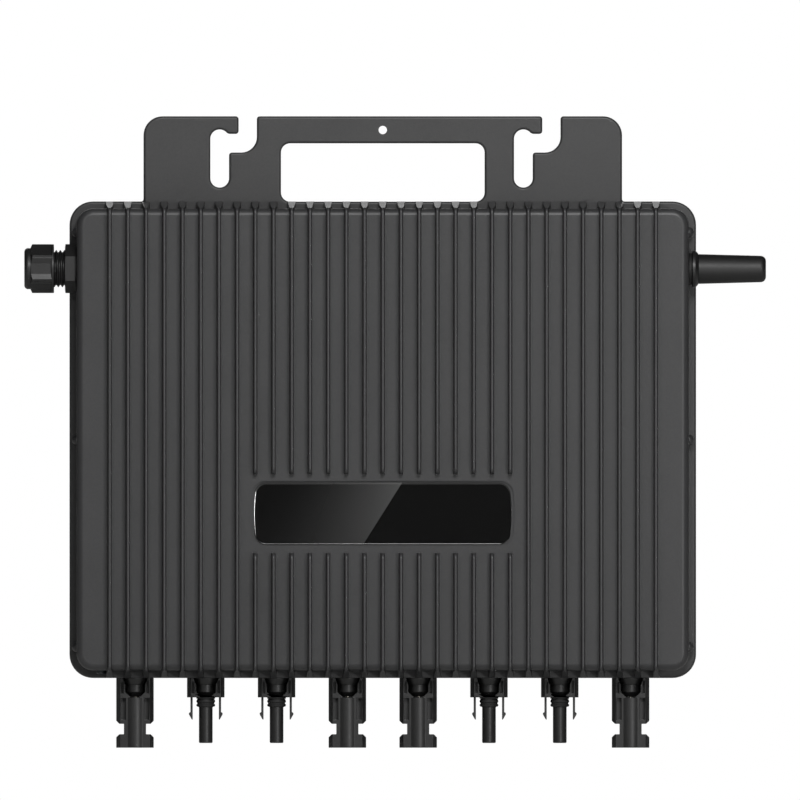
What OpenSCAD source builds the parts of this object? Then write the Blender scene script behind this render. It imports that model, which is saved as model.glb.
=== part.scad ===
// Micro inverter: a ribbed die-cast housing on a hanger plate, with a cable gland,
// a stub antenna and eight panel connectors along the underside.
// Millimetres. Origin at the centre of the plate's back face, +X right, +Z up, the front faces -Y.

/* [Hanger plate] */
// Width of the main plate
plate_w = 320; // [310:1:330]
// Height of the main plate
plate_h = 243.4; // [240:0.2:246]
// Thickness of the plate
plate_t = 3; // [2:0.5:3]
// Corner radius of the main plate
plate_r = 12; // [6:1:16]
// Width of the hanger above the main plate
hanger_w = 244.4; // [230:0.2:250]
// Height of the hanger's top edge above the origin
hanger_top = 165.2; // [164:0.2:168]
// Width of the hand hole
hand_hole_w = 104; // [80:1:110]
// Radius of a hook slot, which seats an M8 bolt
hook_r = 4.775; // [4.2:0.005:5]

/* [Housing] */
// Width across the side walls
case_w = 312.7; // [308:0.1:314]
// Height across the top and bottom walls
case_h = 235.8; // [232:0.2:237]
// Depth from the plate's back face to the flat front
case_d = 32; // [31:0.5:36]
// Thickness of the side walls
wall = 4.5; // [4.5:0.1:5]
// Thickness of the front
front_t = 4; // [3:0.5:4.5]
// Radius of the rounded front edge
front_edge_r = 3.5; // [2:0.5:4]

/* [Cooling ribs] */
// Number of ribs
rib_count = 31; // [23:2:31]
// Distance from rib to rib
rib_pitch = 9.3; // [9.3:0.1:9.4]
// Height of a rib above the flat front
rib_h = 6; // [4:0.5:7]
// Width of a rib at its crest
crest_w = 1.2; // [1:0.1:1.6]
// Width of a rib where it leaves the flat front
root_w = 2.4; // [2:0.1:3]
// Width of a rib at its foot on the plate
foot_w = 4; // [3.2:0.1:4.4]
// Ribs that stop above and below the label
short_ribs = 15; // [13:2:15]

/* [Label] */
// Width of the label
label_w = 131.6; // [120:0.2:134]
// Height of the label
label_h = 31.4; // [28:0.2:32]
// Height of the label's centre
label_z = -37.6; // [-38:0.1:-37]

/* [Cable gland] */
// Height of the gland's axis
gland_z = 87.4; // [80:0.2:92]
// Radius of the gland's thread
gland_r = 9.5; // [9.3:0.05:9.5]
// Radius of the cable hole through the rubber seal
cable_r = 5; // [3:0.25:6]

/* [Antenna] */
// Height of the antenna's axis
antenna_z = 87.2; // [80:0.2:92]
// Radius of the antenna at its foot
antenna_r = 7.6; // [7:0.1:7.8]

/* [Panel connectors] */
// Distance from connector to connector
connector_pitch = 36.16; // [36:0.02:36.4]
// Width of a connector
connector_w = 19.15; // [18.5:0.05:20]
// Radius of the slim connector's tube
tube_r = 3.5; // [3.4:0.05:3.5]
// Radius of a pin contact
pin_r = 2; // [1.8:0.05:2]

/* [Hidden] */
$fn = 48;

cut = 1;                                  // how far a cutting solid runs past a face
gap = 0.1;                                // clearance between pieces that slide in one another

// plate and hanger
plate_low = -plate_h/2;
plate_high = plate_h/2;
hanger_r = 9.7;
hand_hole_low = 121.6;
hand_hole_high = 151.4;
hand_hole_r = 4.7;
hook_x = [-83.3, 71.8];                   // both slots open to the same side
hook_low = 133.6;
hook_high = 153.7;
hook_floor = 146.7;
lip_low = 156.2;
lip_x = 9.68;
channel_x = 18.97;
channel_r = 7.9;
hook_corner = 1.5;
earth_r = 2.15;
earth_z = 158.2;

// housing
case_z = 0.1;
case_r = 8.5;
case_low = case_z - case_h/2;
case_high = case_z + case_h/2;
cavity_front = case_d - front_t;
groove_in = 0.8;
groove_w = 1.6;
groove_t = 1.2;
ledge_w = (rib_count - 1)*rib_pitch + 2;
ledge_d = 17.6;
boss_r = 2.7;
boss_tall = 9;
boss_in = 0.2;                            // how far a boss's axis lies inside the wall's face
side_boss_z = [-105.8, 0, 106];
top_lug_x = 106.9;
top_lug_w = 5.6;
top_lug_high = 122.2;
top_lug_d = 7.4;
top_screw_z = 119.2;
bottom_screw_x = [-108.5, 0, 108.5];
screw_r = 1.2;
screw_in = 3.7;                           // how deep a cover screw reaches into the housing
screw_hole_r = 1.7;
tapped_r = 1.25;
head_r = 2.9;
screw_sites = concat(
    [for (z = side_boss_z, s = [-1, 1]) [s*(case_w/2 - boss_in), z]],
    [for (s = [-1, 1]) [s*top_lug_x, top_screw_z]],
    [for (x = bottom_screw_x) [x, case_low]]);

// circuit board
board_w = 284;
board_low = -95;
board_high = 106;
board_back = 6.6;
board_front = 8.2;
pillar_sites = [for (x = [-135, -45, 45, 135], z = [-86, 98]) [x, z]];
pillar_r = 3.5;

// gland, measured outwards from the left wall
gland_y = -15.5;
hex_corner = 12.5;
washer_t = 0.9;
hex_out = 5.95;
nut_in = 11.55;
grip_out = 23.65;
nut_out = 26.75;
nut_r = 12.5;
nose_r = 10.55;
nut_flat_r = 10.95;
nut_chamfer = 1.05;
seat_in = 12;
body_out = 20;
inner_seat_r = 8.5;
claw_in = 12.2;
claw_out = 22.2;

// antenna, measured outwards from the right wall
antenna_y = -15.5;
antenna_gasket_r = 8.1;
antenna_gasket_t = 1.6;
collar_r = 9.27;
collar_out = 4.85;
antenna_tip = 39.35;
tip_r = 6.75;
tip_edge = 2.7;
antenna_shank = 6;

// status light
led_x = -143.6;
led_y = -17.5;

// panel connectors, measured down from the plate's lower edge
connector_y = -10.2;
connector_x = [for (i = [0:7]) (i - 3.5)*connector_pitch];
pin_sites = [for (i = [0, 3, 4, 7]) connector_x[i]];
socket_sites = [for (i = [1, 2, 5, 6]) connector_x[i]];
barrel_r = 7;
barrel_w = 11.3;
flat_y = 6.05;
head_h = 9.9;
shell_h = 35.6;
tube_h = 33.2;
shank_r = 5.5;
shank_h = 16;
contact_top = 17;
pivot_x = 7.25;
pivot_z = 10.6;
finger_t = 1.18;
finger_h = 21.2;
finger_w = 4.4;

function arc(x, y, r, from, to, steps = 6) =
    [for (i = [0:steps]) [x + r*cos(from + (to - from)*i/steps), y + r*sin(from + (to - from)*i/steps)]];
function mirrored(points) = [for (i = [len(points) - 1:-1:0]) [-points[i][0], points[i][1]]];

// Puts a flat outline in X and Z and gives it depth, from `near` to `far` in front of the back face
module stand(near, far) {
    translate([0, -near, 0]) rotate([90, 0, 0]) linear_extrude(far - near) children();
}

module rounded_rect(w, h, r) {
    square([w, h - 2*r], center = true);
    square([w - 2*r, h], center = true);
    for (sx = [-1, 1], sy = [-1, 1]) translate([sx*(w/2 - r), sy*(h/2 - r)]) circle(r);
}

// Local +z points out of the left wall along the gland's axis
module on_left_wall() {
    translate([-case_w/2, gland_y, gland_z]) rotate([0, -90, 0]) children();
}

// Local +z points out of the right wall along the antenna's axis
module on_right_wall() {
    translate([case_w/2, antenna_y, antenna_z]) rotate([0, 90, 0]) children();
}

module at_connector(x) {
    translate([x, connector_y, plate_low]) children();
}

module ring(outer, inner, low, high) {
    difference() {
        translate([0, 0, low]) cylinder(h = high - low, r = outer);
        translate([0, 0, low - cut]) cylinder(h = high - low + 2*cut, r = inner);
    }
}

// ---- hanger plate ----

// Outline of one hook slot: a bolt enters from the top edge, passes under the lip and rises to seat
module hook_slot() {
    translate([0, hook_low]) circle(hook_r);
    translate([-hook_r, hook_low]) square([2*hook_r, hook_high - hook_low]);
    translate([0, hook_high]) circle(hook_r);
    polygon(concat(
        [[0, hook_floor]],
        arc(channel_x - channel_r, hook_floor + channel_r, channel_r, -90, 0, 8),
        [[channel_x, hanger_top - hook_corner]],
        arc(channel_x + hook_corner, hanger_top - hook_corner, hook_corner, 180, 90, 4),
        [[channel_x + hook_corner, hanger_top + cut], [lip_x - hook_corner, hanger_top + cut]],
        arc(lip_x - hook_corner, hanger_top - hook_corner, hook_corner, 90, 0, 4),
        arc(lip_x - hook_corner, lip_low + hook_corner, hook_corner, 0, -90, 4),
        [[0, lip_low]]));
}

module plate_outline() {
    rounded_rect(plate_w, plate_h, plate_r);
    translate([-hanger_w/2, 0]) square([hanger_w, hanger_top - hanger_r]);
    translate([hanger_r - hanger_w/2, 0]) square([hanger_w - 2*hanger_r, hanger_top]);
    for (s = [-1, 1]) translate([s*(hanger_w/2 - hanger_r), hanger_top - hanger_r]) circle(hanger_r);
}

module base_plate() color("#4a4a4a") difference() {
    stand(0, plate_t) plate_outline();
    stand(-cut, plate_t + cut) translate([0, (hand_hole_low + hand_hole_high)/2])
        rounded_rect(hand_hole_w, hand_hole_high - hand_hole_low, hand_hole_r);
    for (x = hook_x) stand(-cut, plate_t + cut) translate([x, 0]) hook_slot();
    translate([0, cut, earth_z]) rotate([90, 0, 0]) cylinder(h = plate_t + 2*cut, r = earth_r);
    for (p = screw_sites) translate([p[0], 0, p[1]]) rotate([90, 0, 0]) {
        translate([0, 0, -cut]) cylinder(h = plate_t + 2*cut, r = screw_hole_r);
        cylinder(h = head_r - screw_r + gap, r1 = head_r + gap, r2 = screw_r);
    }
}

module cover_screws() color("#8d9094") for (p = screw_sites)
    translate([p[0], 0, p[1]]) rotate([90, 0, 0]) difference() {
        union() {
            translate([0, 0, gap]) cylinder(h = head_r - screw_r, r1 = head_r, r2 = screw_r);
            cylinder(h = plate_t + screw_in, r = screw_r);
        }
        translate([0, 0, -cut]) cylinder(h = cut + 1.3, r = 1.15, $fn = 6);
    }

// ---- housing ----

// Side view of the ribs: both ends slope from the plate and round over onto the crest
rib_front = case_d + rib_h;
rib_end_r = 2.4;
rib_end_z = 116;
root_in = 0.6;                            // how far under the flat front a rib's sides change slope
rib_top = [[plate_high, plate_t], [rib_end_z + rib_end_r, rib_front - rib_end_r]];
rib_bottom = [[-rib_end_z - rib_end_r, rib_front - rib_end_r], [plate_low, ledge_d + 3], [plate_low, plate_t]];
gap_top = -17.6;
gap_low = -57.9;
gap_edge = 3;

module rib_side_view() polygon(concat(
    rib_top, arc(rib_end_z, rib_front - rib_end_r, rib_end_r, 0, 90),
    arc(-rib_end_z, rib_front - rib_end_r, rib_end_r, 90, 180), rib_bottom));

// The space that the short ribs leave for the label
module label_gap() polygon(concat(
    [[gap_low, case_d], [gap_low, case_d + rib_h - gap_edge]],
    arc(gap_low - gap_edge, rib_front - gap_edge, gap_edge, 0, 90, 4),
    [[gap_low - gap_edge, rib_front + cut], [gap_top + gap_edge, rib_front + cut]],
    arc(gap_top + gap_edge, rib_front - gap_edge, gap_edge, 90, 180, 4), [[gap_top, case_d]]));

// Lays a side view, drawn as height and depth, across the width
module across(w) {
    translate([-w/2, 0, 0]) multmatrix([[0, 0, 1, 0], [0, -1, 0, 0], [1, 0, 0, 0], [0, 0, 0, 1]])
        linear_extrude(w) children();
}

module rib_bars(first, last) for (i = [first:last])
    translate([(i - (rib_count - 1)/2)*rib_pitch, 0, plate_low - cut]) linear_extrude(plate_h + 2*cut) {
        right = [[foot_w/2, -plate_t], [root_w/2, root_in - case_d], [crest_w/2, -rib_front]];
        polygon(concat(right, mirrored(right)));
    }

module cooling_ribs() {
    side = (rib_count - short_ribs)/2;
    intersection() {
        across(case_w) rib_side_view();
        union() {
            rib_bars(0, side - 1);
            rib_bars(side + short_ribs, rib_count - 1);
            difference() {
                rib_bars(side, side + short_ribs - 1);
                across(case_w) label_gap();
            }
        }
    }
}

// The box, with its front edges rounded over
module case_shell() intersection() {
    stand(plate_t, case_d) translate([0, case_z]) rounded_rect(case_w, case_h, case_r);
    translate([0, 0, case_low - cut]) linear_extrude(case_h + 2*cut) mirror([0, 1]) polygon(concat(
        [[-case_w/2, plate_t], [case_w/2, plate_t]],
        arc(case_w/2 - front_edge_r, case_d - front_edge_r, front_edge_r, 0, 90),
        arc(front_edge_r - case_w/2, case_d - front_edge_r, front_edge_r, 90, 180)));
    across(case_w + 2*cut) polygon(concat(
        [[case_low, plate_t], [case_high, plate_t]],
        arc(case_high - front_edge_r, case_d - front_edge_r, front_edge_r, 0, 90),
        arc(case_low + front_edge_r, case_d - front_edge_r, front_edge_r, 90, 180)));
}

module seal_groove(inset, w, low, high) stand(low, high) translate([0, case_z]) difference() {
    rounded_rect(case_w - 2*inset, case_h - 2*inset, case_r - inset/2);
    rounded_rect(case_w - 2*inset - 2*w, case_h - 2*inset - 2*w, case_r - inset/2 - w);
}

module housing() color("#454545") difference() {
    union() {
        difference() {
            union() {
                case_shell();
                cooling_ribs();
                stand(plate_t, ledge_d) translate([-ledge_w/2, plate_low]) square([ledge_w, 8]);
            }
            stand(plate_t - cut, cavity_front) translate([0, case_z])
                rounded_rect(case_w - 2*wall, case_h - 2*wall, case_r - wall/2);
        }
        for (z = side_boss_z, s = [-1, 1]) translate([s*(case_w/2 - boss_in), -plate_t, z]) rotate([90, 0, 0])
            rotate_extrude() polygon(concat([[0, 0], [boss_r, 0]], arc(0, boss_tall - boss_r, boss_r, 0, 90)));
        for (s = [-1, 1]) stand(plate_t, top_lug_d)
            translate([s*top_lug_x - top_lug_w/2, case_high - 2]) square([top_lug_w, top_lug_high - case_high + 2]);
        for (p = pillar_sites) stand(board_front, cavity_front + 1) translate(p) circle(pillar_r);
    }
    seal_groove(wall - groove_in - groove_w, groove_w, plate_t - cut, plate_t + groove_t);
    for (p = screw_sites) stand(plate_t - cut, plate_t + screw_in + 0.3) translate(p) circle(tapped_r);
    for (p = pillar_sites) stand(board_front - cut, board_front + 8) translate(p) circle(tapped_r);
    stand(case_d - 1.2, case_d + cut) translate([0, label_z]) rounded_rect(label_w + 1.8, label_h + 1.8, 5.8);
    on_left_wall() translate([0, 0, -wall - cut]) cylinder(h = wall + 2*cut, r = gland_r + gap);
    on_right_wall() translate([0, 0, -wall - cut]) cylinder(h = wall + 2*cut, r = antenna_shank + gap);
    for (x = connector_x) at_connector(x) {
        translate([0, 0, -cut]) cylinder(h = 10, r = shank_r + gap);
        translate([0, 0, -cut]) cylinder(h = cut + 1.2, r = shank_r + 1.1);
    }
    translate([led_x, led_y, case_low - cut]) cylinder(h = wall + 2*cut, r = 2.1);
}

module housing_gasket() color("#17181a")
    seal_groove(wall - groove_in - groove_w + gap, groove_w - 2*gap, plate_t, plate_t + groove_t - 0.05);

module label_plate() color("#111111") stand(case_d - 1.15, case_d - 0.15)
    translate([0, label_z]) rounded_rect(label_w, label_h, 4.9);

module status_led_window() color("#5b6064") translate([led_x, led_y, case_low]) {
    cylinder(h = wall + 1, r = 2);
    translate([0, 0, -2]) cylinder(h = 2, r = 2.5);
}

// ---- cable gland ----

module gland_body() color("#242424") on_left_wall() difference() {
    union() {
        translate([0, 0, washer_t]) cylinder(h = hex_out - washer_t, r = hex_corner, $fn = 6);
        translate([0, 0, -wall - 6]) cylinder(h = wall + 6 + body_out, r = gland_r);
    }
    translate([0, 0, -wall - 6 - cut]) cylinder(h = wall + 6 + body_out + 2*cut, r = 6.6);
    translate([0, 0, seat_in]) cylinder(h = body_out, r = inner_seat_r);
}

module gland_washer() color("#1b1b1c") on_left_wall() ring(11.6, gland_r + gap, 0, washer_t);

module gland_locknut() color("#2a2a2b") on_left_wall() difference() {
    translate([0, 0, -wall - 4]) cylinder(h = 4, r = 13.4, $fn = 6);
    translate([0, 0, -wall - 4 - cut]) cylinder(h = 4 + 2*cut, r = gland_r + gap/2);
}

module gland_claw() color("#303031") on_left_wall() difference() {
    ring(inner_seat_r - gap, 7.3, claw_in, claw_out);
    for (a = [0:60:120]) rotate(a) translate([-10, -0.6, 16]) cube([20, 1.2, 10]);
}

module gland_seal() color("#161617") on_left_wall() ring(7.2, cable_r, claw_in, claw_out);

// Section of the nut's grip: six crests with a broad flat between each two
module grip_section() {
    function at(r, a) = r*[cos(a), sin(a)];
    polygon([for (a = [0:60:300]) each [at(nut_r, a - 3.9), at(nut_r, a + 3.9),
        at(nut_flat_r, a + 15.5), at(nut_flat_r, a + 44.5)]]);
}

module gland_nut() color("#262626") on_left_wall() difference() {
    union() {
        intersection() {
            translate([0, 0, nut_in]) linear_extrude(grip_out - nut_in) grip_section();
            rotate_extrude() polygon([[0, nut_in - cut], [nut_r + cut, nut_in - cut],
                [nut_r + cut, grip_out - 1.5*nut_chamfer], [nose_r - 0.15, grip_out], [0, grip_out]]);
        }
        rotate_extrude() polygon(concat([[0, nut_in], [nose_r, nut_in]],
            arc(nose_r - 2, nut_out - 2, 2, 0, 90), [[0, nut_out]]));
        translate([0, 0, nut_in]) cylinder(h = 1.25, r = nut_r - 0.05);
    }
    translate([0, 0, nut_in - cut]) cylinder(h = claw_out + 0.2 - nut_in + cut, r = gland_r + gap);
    translate([0, 0, nut_in]) cylinder(h = nut_out, r = 7.2);
}

// ---- antenna ----

module antenna_collar() color("#232323") on_right_wall() difference() {
    rotate_extrude() polygon([[0, -9], [antenna_shank, -9], [antenna_shank, antenna_gasket_t],
        [collar_r - 0.6, antenna_gasket_t], [collar_r, antenna_gasket_t + 0.6], [collar_r, 3.75],
        [antenna_r + 0.2, collar_out], [0, collar_out]]);
    translate([0, 0, -9 - cut]) cylinder(h = 9 + collar_out + 2*cut, r = 1.6);
}

module antenna_gasket() color("#151516") on_right_wall() ring(antenna_gasket_r, antenna_shank + gap, 0, antenna_gasket_t);

module antenna_locknut() color("#9a9da0") on_right_wall() difference() {
    translate([0, 0, -wall - 3]) cylinder(h = 3, r = 9.2, $fn = 6);
    translate([0, 0, -wall - 3 - cut]) cylinder(h = 3 + 2*cut, r = antenna_shank + gap/2);
}

module antenna_rod() color("#262627") on_right_wall() difference() {
    rotate_extrude() polygon(concat([[0, collar_out], [antenna_r, collar_out]],
        arc(tip_r - tip_edge, antenna_tip - tip_edge, tip_edge, 0, 90), [[0, antenna_tip]]));
    translate([0, 0, collar_out - cut]) cylinder(h = 29, r = 3);
}

module antenna_core() color("#b08d4a") on_right_wall() translate([0, 0, -12]) cylinder(h = 43, r = 1.5);

module antenna_lead() color("#1d1d1e") on_right_wall() translate([0, 0, -37.5]) cylinder(h = 25.5, r = 0.9);

// ---- inside ----

module board_block(x, z, w, h, low, high) {
    translate([x - w/2, -high, z - h/2]) cube([w, high - low, h]);
}

module circuit_board() color("#2f5d3a") difference() {
    stand(board_back, board_front) translate([-board_w/2, board_low]) square([board_w, board_high - board_low]);
    for (p = pillar_sites) stand(board_back - cut, board_front + cut) translate(p) circle(screw_hole_r);
}

module board_screws() color("#a5a8ab") for (p = pillar_sites) {
    stand(board_back - 2, board_back) translate(p) circle(2.8);
    stand(board_back, board_front + 6) translate(p) circle(screw_r);
}

radio_x = 104;
radio_z = 87;

module radio_board() color("#35694a") {
    board_block(radio_x, radio_z, 34, 36, 13, 14.2);
    board_block(radio_x, radio_z - 15, 26, 2.5, board_front, 13);
    board_block(radio_x, radio_z + 15, 26, 2.5, board_front, 13);
    board_block(radio_x - 5, radio_z - 2, 14, 14, 14.2, 16.4);
    stand(14.2, 16.6) translate([117, antenna_z]) circle(1.7);
}

transformer_x = [-108.5, -36.2, 36.2, 108.5];
transformer_z = -22;
core_low = 9;
core_high = 25;
core_plate = 4;

module transformer_cores() color("#2b2c30") for (x = transformer_x) {
    board_block(x, transformer_z, 34, 27, core_low, core_low + core_plate);
    board_block(x, transformer_z, 34, 27, core_high - core_plate, core_high);
    for (s = [-1, 1]) board_block(x + s*15, transformer_z, 4, 27, core_low + core_plate, core_high - core_plate);
    stand(core_low + core_plate, core_high - core_plate) translate([x, transformer_z]) circle(6);
}

module transformer_windings() color("#a5622c") for (x = transformer_x)
    stand(core_low + core_plate + 0.3, core_high - core_plate - 0.3) translate([x, transformer_z]) difference() {
        circle(12);
        circle(6.3);
    }

module electrolytic_capacitors() color("#22303f") for (x = transformer_x, s = [-1, 0, 1])
    stand(board_front, 26) translate([x + s*18, -58]) circle(8);

module film_capacitors() color("#9c7b3a") for (x = [-88, -68, -20, 0, 20])
    board_block(x, 62, 12, 26, board_front, 23);

module filter_chokes() color("#8a4b22") for (x = [-110, 62])
    stand(10, 22) translate([x, 56]) difference() {
        circle(13);
        circle(5.5);
    }

module relays() color("#30343a") for (x = [-80, -62])
    board_block(x, 90, 13, 29, board_front, 24);

transistor_sites = concat([for (x = transformer_x, s = [-1, 1]) [x + s*9, 12]], [for (i = [-1.5:1.5]) [i*22, 36]]);

module power_transistors() color("#222325") for (p = transistor_sites) {
    board_block(p[0], p[1], 10, 15, 23, cavity_front - 0.6);
    for (s = [-1, 0, 1]) board_block(p[0] + s*2.54, p[1] - 8.2, 0.8, 1.4, board_front, 25);
}

module thermal_pads() color("#8793a0") for (p = transistor_sites)
    board_block(p[0], p[1], 12, 17, cavity_front - 0.6, cavity_front);

module ac_terminal() color("#3c6e4b") difference() {
    board_block(-121, gland_z, 18, 30, board_front, 22);
    for (s = [-1, 0, 1]) translate([-130 - cut, gland_y, gland_z + s*9.5]) rotate([0, 90, 0])
        cylinder(h = 13, r = 2.4);
}

// ---- panel connectors: local z is 0 at the plate's lower edge ----

module shell_section() {
    right = [[7.65, -flat_y], [connector_w/2, -3.2], [connector_w/2, 3.2], [7.65, flat_y]];
    polygon(concat(right, mirrored(right)));
    circle(barrel_r);
}

// The collar that both kinds share: a block with a round core showing in a pocket on each flat face
module connector_head() {
    difference() {
        translate([0, 0, -head_h]) linear_extrude(head_h) shell_section();
        for (s = [-1, 1]) translate([-5.4, s > 0 ? 3 : -3 - barrel_r, 0.9 - head_h])
            cube([10.8, barrel_r, head_h]);
    }
    rotate_extrude() polygon([[0, 0], [6.75, 0], [4.95, -3.4], [4.95, -7.3], [2.55, -9.7], [0, -9.7]]);
    cylinder(h = shank_h, r = shank_r);
}

module pin_connector(n) color("#2b2b2b") at_connector(pin_sites[n - 1]) difference() {
    union() {
        connector_head();
        intersection() {
            translate([0, 0, -shell_h]) linear_extrude(shell_h - head_h) shell_section();
            translate([0, barrel_r + cut, 0]) rotate([90, 0, 0]) linear_extrude(2*barrel_r + 2*cut) {
                right = [[connector_w/2, -head_h], [connector_w/2, -22.1], [8.275, -23.4], [barrel_w/2, -23.4],
                    [barrel_w/2, -28.7], [7.775, -28.7], [connector_w/2, -30.5], [connector_w/2, -shell_h]];
                polygon(concat(right, mirrored(right)));
            }
        }
    }
    translate([0, 0, -shell_h - cut]) cylinder(h = 5 + cut, r = 4.85);
    translate([0, 0, -shell_h]) cylinder(h = 23.5, r = tube_r + gap);
    translate([0, 0, -shell_h]) cylinder(h = shell_h + shank_h + cut, r = pin_r + 0.3);
    for (sx = [-1, 1], sy = [-1, 1]) translate([sx*5.95 - 1.25, sy*5 - 2.6, -21.4]) cube([2.5, 5.2, 11.2]);
    for (sx = [-1, 1]) translate([sx*7.65 - 1.25, -2.5, -shell_h - cut]) cube([2.5, 5, 7 + 2*cut]);
}

module socket_connector(n) color("#2b2b2b") at_connector(socket_sites[n - 1]) difference() {
    union() {
        connector_head();
        translate([0, 0, -tube_h]) cylinder(h = tube_h, r = tube_r);
        translate([0, 0, -14.8]) cylinder(h = 14.8, r = 3.9);
        translate([0, 0, -head_h - 0.7]) cylinder(h = 1.7, r = 4.8);
    }
    translate([0, 0, -tube_h + 1]) cylinder(h = tube_h + shank_h, r = 2.6);
    translate([0, 0, -tube_h - cut]) cylinder(h = 3, r = pin_r + gap);
}

// Fingers 1 and 2 belong to the first slim connector, and so on; odd numbers are on the left
module latch_finger(n) color("#2d2d2d") {
    side = n % 2 == 1 ? -1 : 1;
    half = finger_t/2;
    at_connector(socket_sites[floor((n - 1)/2)]) mirror([side < 0 ? 1 : 0, 0, 0])
        translate([pivot_x, finger_w/2, -pivot_z]) rotate([90, 0, 0]) linear_extrude(finger_w)
        {
            circle(half + 0.04);
            polygon([[half, 0], [-half, 0], [-half, pivot_z - finger_h], [-0.1, pivot_z - finger_h],
                [half + 0.76, pivot_z - 18.6], [half + 0.76, pivot_z - 17.8], [half, pivot_z - 17.4]]);
        }
}

module contact_pins() color("#c9c2b0") for (x = pin_sites) at_connector(x) {
    translate([0, 0, -26.3]) cylinder(h = 26.3, r = pin_r);
    translate([0, 0, -27.3]) cylinder(h = 1, r1 = pin_r - 0.8, r2 = pin_r);
    translate([0, 0, -12]) cylinder(h = 12 + contact_top, r = pin_r + 0.25);
}

module contact_sockets() color("#c9c2b0") for (x = socket_sites) at_connector(x) difference() {
    translate([0, 0, -32]) cylinder(h = 32 + contact_top, r = 2.55);
    translate([0, 0, -32 - cut]) cylinder(h = 20, r = pin_r + 0.05);
}

module connector_o_rings() color("#141415") for (x = socket_sites) at_connector(x)
    rotate_extrude() polygon([[3.95, -14.6], [4.4, -14.6], [4.8, -14.1], [4.8, -13.6], [4.35, -13.1],
        [4.35, -12.7], [4.8, -12.2], [4.8, -11.7], [4.4, -10.7], [3.95, -10.7]]);

module connector_panel_seals() color("#161617") for (x = connector_x) at_connector(x)
    ring(shank_r + 1.05, shank_r + gap, 0.05, 1.15);

module connector_locknuts() color("#2a2a2b") for (x = connector_x) at_connector(x) difference() {
    translate([0, 0, case_low + wall - plate_low]) cylinder(h = 4, r = 7.9, $fn = 6);
    cylinder(h = 20, r = shank_r + gap/2);
}

module panel_leads() color("#7b1f1f") for (x = connector_x) {
    at_connector(x) translate([0, 0, contact_top]) cylinder(h = 16, r = 1.4);
    board_block(x, -87, 4, 4, board_front, board_front + 0.8);
}

base_plate();
housing();
housing_gasket();
cover_screws();
label_plate();
status_led_window();
gland_body();
gland_washer();
gland_locknut();
gland_claw();
gland_seal();
gland_nut();
antenna_collar();
antenna_gasket();
antenna_locknut();
antenna_rod();
antenna_core();
antenna_lead();
radio_board();
circuit_board();
board_screws();
transformer_cores();
transformer_windings();
electrolytic_capacitors();
film_capacitors();
filter_chokes();
relays();
power_transistors();
thermal_pads();
ac_terminal();
for (n = [1:4]) pin_connector(n);
for (n = [1:4]) socket_connector(n);
for (n = [1:8]) latch_finger(n);
contact_pins();
contact_sockets();
connector_o_rings();
connector_panel_seals();
connector_locknuts();
panel_leads();
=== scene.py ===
import math

import bmesh
import bpy
from mathutils import Matrix, Vector


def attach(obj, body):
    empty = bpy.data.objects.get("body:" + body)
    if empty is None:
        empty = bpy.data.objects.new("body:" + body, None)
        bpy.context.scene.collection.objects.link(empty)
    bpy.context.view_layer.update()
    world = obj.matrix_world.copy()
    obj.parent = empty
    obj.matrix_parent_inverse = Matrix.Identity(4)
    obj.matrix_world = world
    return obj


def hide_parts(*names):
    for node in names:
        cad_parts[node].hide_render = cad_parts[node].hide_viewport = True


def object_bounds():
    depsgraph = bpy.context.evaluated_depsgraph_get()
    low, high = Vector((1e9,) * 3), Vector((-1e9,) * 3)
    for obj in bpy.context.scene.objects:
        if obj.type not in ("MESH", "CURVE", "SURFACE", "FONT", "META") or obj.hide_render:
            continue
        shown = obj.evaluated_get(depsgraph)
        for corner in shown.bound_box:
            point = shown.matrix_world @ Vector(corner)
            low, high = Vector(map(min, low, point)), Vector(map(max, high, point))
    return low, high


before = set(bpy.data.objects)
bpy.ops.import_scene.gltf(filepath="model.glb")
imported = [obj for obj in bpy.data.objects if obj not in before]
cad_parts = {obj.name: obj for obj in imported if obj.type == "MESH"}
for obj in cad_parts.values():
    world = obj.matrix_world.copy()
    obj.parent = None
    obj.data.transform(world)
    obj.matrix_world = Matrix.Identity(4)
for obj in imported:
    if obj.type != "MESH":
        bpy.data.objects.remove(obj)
cad_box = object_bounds()

# ---- camera, floor and studio light ----
# The inverter hangs upright and is seen square on from the front, without perspective, so
# that its height and width keep one scale. The floor lies just under its lowest connectors.
MM = 0.001
view_width = 408.6*MM
bpy.ops.object.camera_add(location=(8.8*MM, -2, 20.3*MM), rotation=(math.radians(90), 0, 0))
camera = bpy.context.object
camera.data.type = "ORTHO"
camera.data.ortho_scale = view_width
bpy.context.scene.camera = camera
bpy.context.scene.view_settings.view_transform = "Standard"


def linear(code):
    """A colour written as sRGB hex, as the linear values that a shader takes."""
    parts = [int(code[i:i + 2], 16)/255 for i in (1, 3, 5)]
    return [p/12.92 if p <= 0.04045 else ((p + 0.055)/1.055)**2.4 for p in parts] + [1]


def add(tree, kind, values=None, links=None, **settings):
    """Adds one node with its settings, the values of its inputs and the outputs that feed them."""
    node = tree.nodes.new(kind)
    for name, value in settings.items():
        setattr(node, name, value)
    for name, value in (values or {}).items():
        node.inputs[name].default_value = value
    for name, output in (links or {}).items():
        tree.links.new(output, node.inputs[name])
    return node


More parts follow.
